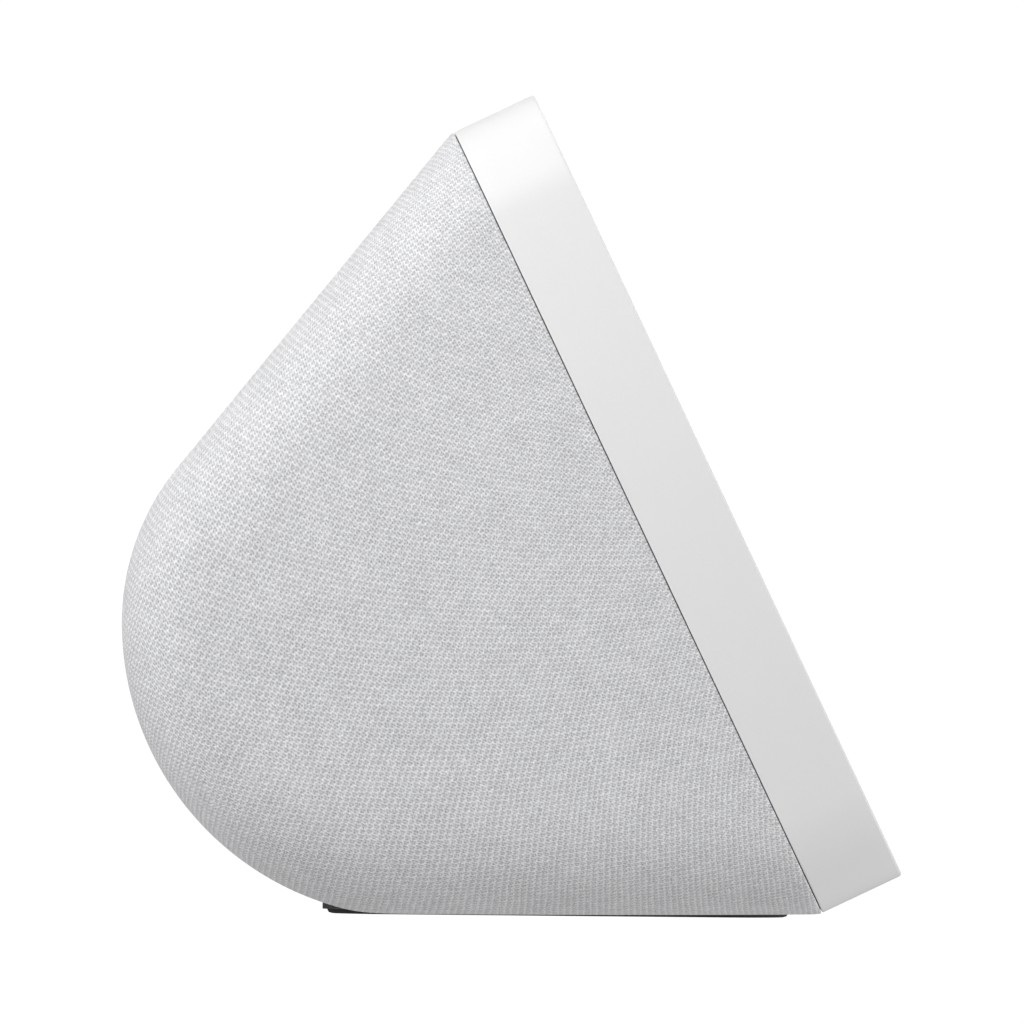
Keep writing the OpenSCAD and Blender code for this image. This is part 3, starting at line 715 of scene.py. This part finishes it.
    mesh = bpy.data.meshes.new("knit_cover")
    mesh.from_pydata((points * MM).tolist(), [], faces)
    for layer, values in (("side_rows", side_uv), ("wrap_rows", wrap_uv)):
        at = np.array(values)
        uv = mesh.uv_layers.new(name=layer)
        index = np.zeros(len(mesh.loops), int)
        mesh.loops.foreach_get("vertex_index", index)
        uv.data.foreach_set("uv", at[index].astype(np.float32).ravel())
    mesh.attributes.new("wrap", "FLOAT", "POINT").data.foreach_set("value", np.array(wrap_share, np.float32))
    bm = bmesh.new()
    bm.from_mesh(mesh)
    bmesh.ops.remove_doubles(bm, verts=bm.verts, dist=0.00001)
    bmesh.ops.delete(bm, geom=[v for v in bm.verts if not v.link_faces], context="VERTS")
    bmesh.ops.recalc_face_normals(bm, faces=bm.faces)
    far_side = max(bm.faces, key=lambda f: f.calc_center_median().x)
    if far_side.normal.x < 0:
        bmesh.ops.reverse_faces(bm, faces=bm.faces)
    bm.to_mesh(mesh)
    bm.free()
    obj = bpy.data.objects.new("knit_cover", mesh)
    bpy.context.scene.collection.objects.link(obj)
    return settle(obj, "body", "knit", "fabric_cover", sharp=70)


cover = make_cover()

# ---------------------------------------------------------------- front frame
FACE = (BODY_W, FACE_LEN, CORNER_R)
BACK_D = -(FRAME_T - 0.15)
# The glass pocket's wall, inwards from the frame's outside
POCKET_IN = -(RIM_W - 0.3)


def frame_shell():
    """The frame, with slots for the buttons and the shutter and holes for the microphones."""
    edge, back_edge, window_in = 0.3, 0.14, -6.5
    profile = [(POCKET_IN, POCKET_D), (POCKET_IN, -0.4), (POCKET_IN - 0.04, -0.22),
               (POCKET_IN - 0.2, -0.06), (-RIM_W, 0)]
    profile += fillet(-edge, -edge, edge, 90, 0, 8)
    profile += [(0, -2), (0, -5), (0, BACK_D + back_edge + 0.2)]
    profile += fillet(-back_edge, BACK_D + back_edge, back_edge, 0, -90, 5)
    profile += [(-FRAME_WALL, BACK_D), (-FRAME_WALL, LEDGE_D), (window_in, LEDGE_D), (window_in, POCKET_D)]
    shape = Shape().add(*swept(FACE, profile, on_face, closed=True, arc=24, run=24))
    shell = bare("frame_shell", shape)
    cutter = Shape()
    lip = [(0.14, 0.5), (0.14, 0.0), (0.05, -0.04), (0, -0.16), (0, -4)]
    for x in BUTTONS.values():
        slot = (BUTTON_L + BUTTON_GAP, BUTTON_W + BUTTON_GAP, (BUTTON_W + BUTTON_GAP) / 2 - 0.01)
        cutter.add(*swept(slot, lip, top_edge(x), run=3))
    cutter.add(*swept((SHUTTER_TRAVEL + 5, 3.4, 1.69), lip, top_edge(CAMERA_X - SHUTTER_TRAVEL / 2), run=3))
    for x in MIC_X:
        cutter.add(*lathe([(0.72, 0.5), (0.72, 0), (0.6, -0.12), (0.6, -4)], top_edge(x), n=32))
    cutter.add(*swept((BAY_W, BAY_H, 0.3), [(0, LEDGE_D - 0.1), (0, POCKET_D + 0.2)],
                      lambda p: on_face(p + np.array([*BAY_AT, 0])), arc=2, run=2))
    cut(shell, bare("cutter", cutter))
    settle(shell, "body", "frame_white", "front_frame", sharp=30)


def frame_bosses():
    """Screw bosses and the two shelves inside the frame."""
    shape = Shape()
    boss = [(BOSS_R, LEDGE_D + 0.2), (BOSS_R, BOSS_D + 0.2), (BOSS_R - 0.15, BOSS_D),
            (PILOT_R + 0.15, BOSS_D), (PILOT_R, BOSS_D + 0.2), (PILOT_R, LEDGE_D - 0.8)]
    for x, u in BOSS_AT:
        shape.add(*lathe(boss, lambda p, s=(x, u, 0): on_face(p + np.array(s)), n=48))
    shelf = [(0, POCKET_D), (0, LEDGE_D)]
    for w, h, x, u in ((122, 3.6, 0, -39.8), (62, 4.4, -18, 38.9)):
        shape.add(*swept((w, h, 0.5), shelf, lambda p, s=(x, u, 0): on_face(p + np.array(s)), arc=4, run=2))
    obj = bare("frame_bosses", shape)
    settle(obj, "body", "frame_white", sharp=30)


frame_shell()
frame_bosses()

# ---------------------------------------------------------------- buttons and shutter
for body, x in BUTTONS.items():
    crown = [(-1.7, 0.0), (-1.1, -0.005), (-0.7, -0.02)] + fillet(-0.35, -0.37, 0.35, 90, 0, 5)
    cap = Shape().add(*swept((BUTTON_L, BUTTON_W, BUTTON_W / 2 - 0.01), crown + [(0, -2.6)], top_edge(x),
                             arc=14, run=4))
    flange = (BUTTON_L + 1.6, BUTTON_W + 0.8, 0.5)
    cap.add(*swept(flange, [(0, -2.4), (0, -3.1), (-0.1, -3.2)], top_edge(x), arc=5, run=2))
    cap.add(*lathe([(0.9, -3.1), (0.9, -4.75), (0.75, -4.9)], top_edge(x), n=32))
    node_name = {"mic_key": "mic_button"}.get(body, body + "_button")
    settle(bare(node_name + "_cap", cap), body, "frame_white", node_name, sharp=40)

# The shutter rests open, with its tab beside the camera
rest_x = CAMERA_X - SHUTTER_TRAVEL
tab = Shape().add(*swept((4.6, 3, 1.49), [(-0.5, -0.6), (-0.2, -0.63), (-0.05, -0.72), (0, -0.9), (0, -3)],
                         top_edge(rest_x), run=2))
for i in (-1, 0, 1):
    tab.add(*swept((0.5, 2, 0.24), [(-0.12, -0.3), (-0.03, -0.34), (0, -0.45), (0, -0.8)],
                   top_edge(rest_x + 1.1 * i), arc=6, run=2))
tab.add(*swept((6.4, 4.4, 0.5), [(0, -2.5), (0, -3.4)], top_edge(rest_x), arc=5, run=2))
tab.add(*swept((4.6, 1.2, 0.3), [(0, -2.5), (0, -8)],
               lambda p: on_face(p + np.array([rest_x, 43.9, 0])), arc=4, run=2))
settle(bare("shutter_tab", tab), "shutter", "frame_white", "shutter_knob", sharp=35)

# ---------------------------------------------------------------- glass and seam
pane = [(-0.6, -0.4), (-0.35, -0.42)] + fillet(-0.25, -0.67, 0.25, 75, 0, 4) + [(0, -1.35), (-0.1, -1.5)]
glass_size = (BODY_W - 2 * RIM_W, FACE_LEN - 2 * RIM_W, CORNER_R - RIM_W)
settle(bare("glass_pane", Shape().add(*swept(glass_size, pane, on_face, arc=20))),
       "body", "clear_glass", "cover_glass", sharp=50)

# A black strip just behind the seam: painted shade that darkens the gap between frame and cover
strip = [(-0.6, BACK_D), (-0.6, -FRAME_T + 0.06), (-0.66, -FRAME_T),
         (-1.94, -FRAME_T), (-2, -FRAME_T + 0.06), (-2, BACK_D)]
settle(bare("seam_shade_strip", Shape().add(*swept(FACE, strip, on_face, closed=True, arc=20))),
       "body", "foot_rubber", "seam_gasket", sharp=35)

# ---------------------------------------------------------------- foot and base
foot_mid = (FOOT_FRONT + FOOT_REAR) / 2
foot_size = (FOOT_W, FOOT_REAR - FOOT_FRONT, FOOT_R)
sole = [(-3.2, 0.12), (-2.6, 0.12), (-2.4, 0.0), (-0.5, 0.0), (-0.15, 0.1), (0, 0.35), (0, 1.0)]
settle(bare("foot_pad", Shape().add(*swept(foot_size, sole, level(foot_mid), arc=16))),
       "body", "foot_rubber", "rubber_foot", sharp=35)

rim_r, ring_back = PORT_R + PORT_RIM, -PORT_DEPTH - 1
rim_profile = [(PORT_R, -0.6)] + fillet(PORT_R + 0.25, -0.6, 0.25, 180, 90, 4)
rim_profile += fillet(rim_r - 0.3, -0.65, 0.3, 90, 0, 4)
rim_profile += [(rim_r, ring_back), (JACK_R, ring_back), (JACK_R, -PORT_DEPTH),
                (PORT_R - 0.1, -PORT_DEPTH), (PORT_R, -PORT_DEPTH + 0.1)]
settle(bare("inlet_ring", Shape().add(*lathe(rim_profile, at_port, closed=True))),
       "body", "black_plastic", "port_ring", sharp=35)

# ---------------------------------------------------------------- floor, sky and lamps
WHITE = (1, 1, 1, 1)
# Strength of the soft light all round, and of the backdrop, which is just past full white
AMBIENT, BACKDROP = 0.595, 1.05

floor_mesh = bpy.data.meshes.new("floor")
floor_mesh.from_pydata([(-20, -20, 0), (20, -20, 0), (20, 20, 0), (-20, 20, 0)], [], [(0, 1, 2, 3)])
floor = bpy.data.objects.new("floor", floor_mesh)
bpy.context.scene.collection.objects.link(floor)
floor_mat = bpy.data.materials.new("floor")
floor_mat.use_nodes = True
tree = floor_mat.node_tree
tree.nodes.clear()
glow = node(tree, "ShaderNodeEmission", {"Color": WHITE, "Strength": BACKDROP})
out = node(tree, "ShaderNodeOutputMaterial", {"Surface": glow.outputs[0]})
floor.data.materials.append(floor_mat)
# The white table is only seen: what lights the object from below is the soft sky
floor.visible_diffuse = floor.visible_glossy = floor.visible_transmission = floor.visible_shadow = False

world = bpy.data.worlds.new("studio")
bpy.context.scene.world = world
world.use_nodes = True
tree = world.node_tree
tree.nodes.clear()
coord = node(tree, "ShaderNodeTexCoord")
xyz = node(tree, "ShaderNodeSeparateXYZ", {0: coord.outputs["Generated"]})
soft = node(tree, "ShaderNodeMapRange", {"Value": xyz.outputs["Z"], "From Min": -1.0, "From Max": 1.0,
            "To Min": AMBIENT * 0.95, "To Max": AMBIENT * 1.05})
ray = node(tree, "ShaderNodeLightPath")
# Mirrored on glass, the room is dimmer and darkens towards the table
room = node(tree, "ShaderNodeMapRange", {"Value": xyz.outputs["Z"], "From Min": -0.2, "From Max": 0.9,
            "To Min": AMBIENT * 0.3, "To Max": AMBIENT * 0.9})
light = node(tree, "ShaderNodeMix",
             {0: ray.outputs["Is Glossy Ray"], 2: soft.outputs[0], 3: room.outputs[0]})
power = node(tree, "ShaderNodeMix", {0: ray.outputs["Is Camera Ray"], 2: light.outputs[0], 3: BACKDROP})
sky = node(tree, "ShaderNodeBackground", {"Color": WHITE, "Strength": power.outputs[0]})
out = node(tree, "ShaderNodeOutputWorld", {"Surface": sky.outputs[0]})


def lamp(name, place, target, size, watts):
    """A round soft lamp that the camera doesn't see."""
    data = bpy.data.lights.new(name, "AREA")
    data.shape, data.size, data.energy = "DISK", size, watts
    obj = bpy.data.objects.new(name, data)
    bpy.context.scene.collection.objects.link(obj)
    obj.location = place
    obj.rotation_mode = "QUATERNION"
    obj.rotation_quaternion = (Vector(target) - Vector(place)).to_track_quat("-Z", "Y")
    obj.visible_camera = False


lamp("key", (-0.21, 0.05, 0.15), (-0.06, 0, 0.05), 0.12, 0.165)
lamp("top", (0.0, 0.0, 0.55), (0, 0, 0.05), 0.4, 0.47)
lamp("back", (-0.10, 0.42, 0.10), (-0.05, 0, 0.04), 0.3, 0.617)
lamp("front", (-0.12, -0.38, -0.06), (-0.06, -0.04, 0.02), 0.25, 0.606)
lamp("fill", (0.34, -0.2, 0.3), (0, 0, 0.05), 0.3, 0.5)

scene = bpy.context.scene
scene.view_settings.view_transform = "Standard"
scene.view_settings.look = "None"
